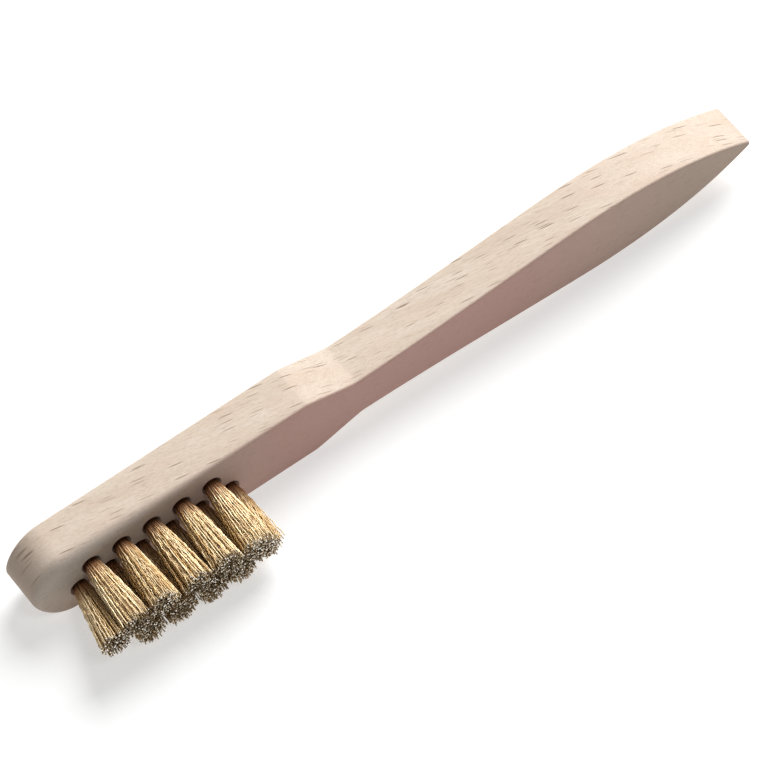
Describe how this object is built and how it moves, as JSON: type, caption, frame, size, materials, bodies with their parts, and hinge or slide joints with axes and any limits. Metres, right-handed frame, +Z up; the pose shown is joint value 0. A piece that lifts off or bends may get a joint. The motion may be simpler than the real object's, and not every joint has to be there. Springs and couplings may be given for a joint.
{
  "type": "wire scratch brush",
  "caption": "Small wire hand brush: a contoured flat beech handle with two staggered rows of trimmed brass wire tufts set in its head.",
  "frame": {"origin": "on the ground under the middle of the brush, which lies on one long edge of its handle", "axes": "+X along the handle from the head to the tail, -Y the way the tufts point, +Z up"},
  "size_m": [0.15, 0.0244, 0.014],
  "materials": {
    "beech": "matte",
    "brass_wire": "satin",
    "anchor_steel": "satin"
  },
  "bodies": {
    "root": {"handle": "beech", "tuft_upper_1": "brass_wire", "tuft_upper_2": "brass_wire", "tuft_upper_3": "brass_wire", "tuft_upper_4": "brass_wire", "tuft_upper_5": "brass_wire", "tuft_lower_1": "brass_wire", "tuft_lower_2": "brass_wire", "tuft_lower_3": "brass_wire", "tuft_lower_4": "brass_wire", "tuft_lower_5": "brass_wire", "tuft_lower_6": "brass_wire", "anchor_upper_1": "anchor_steel", "anchor_upper_2": "anchor_steel", "anchor_upper_3": "anchor_steel", "anchor_upper_4": "anchor_steel", "anchor_upper_5": "anchor_steel", "anchor_lower_1": "anchor_steel", "anchor_lower_2": "anchor_steel", "anchor_lower_3": "anchor_steel", "anchor_lower_4": "anchor_steel", "anchor_lower_5": "anchor_steel", "anchor_lower_6": "anchor_steel"}
  },
  "joints": []
}
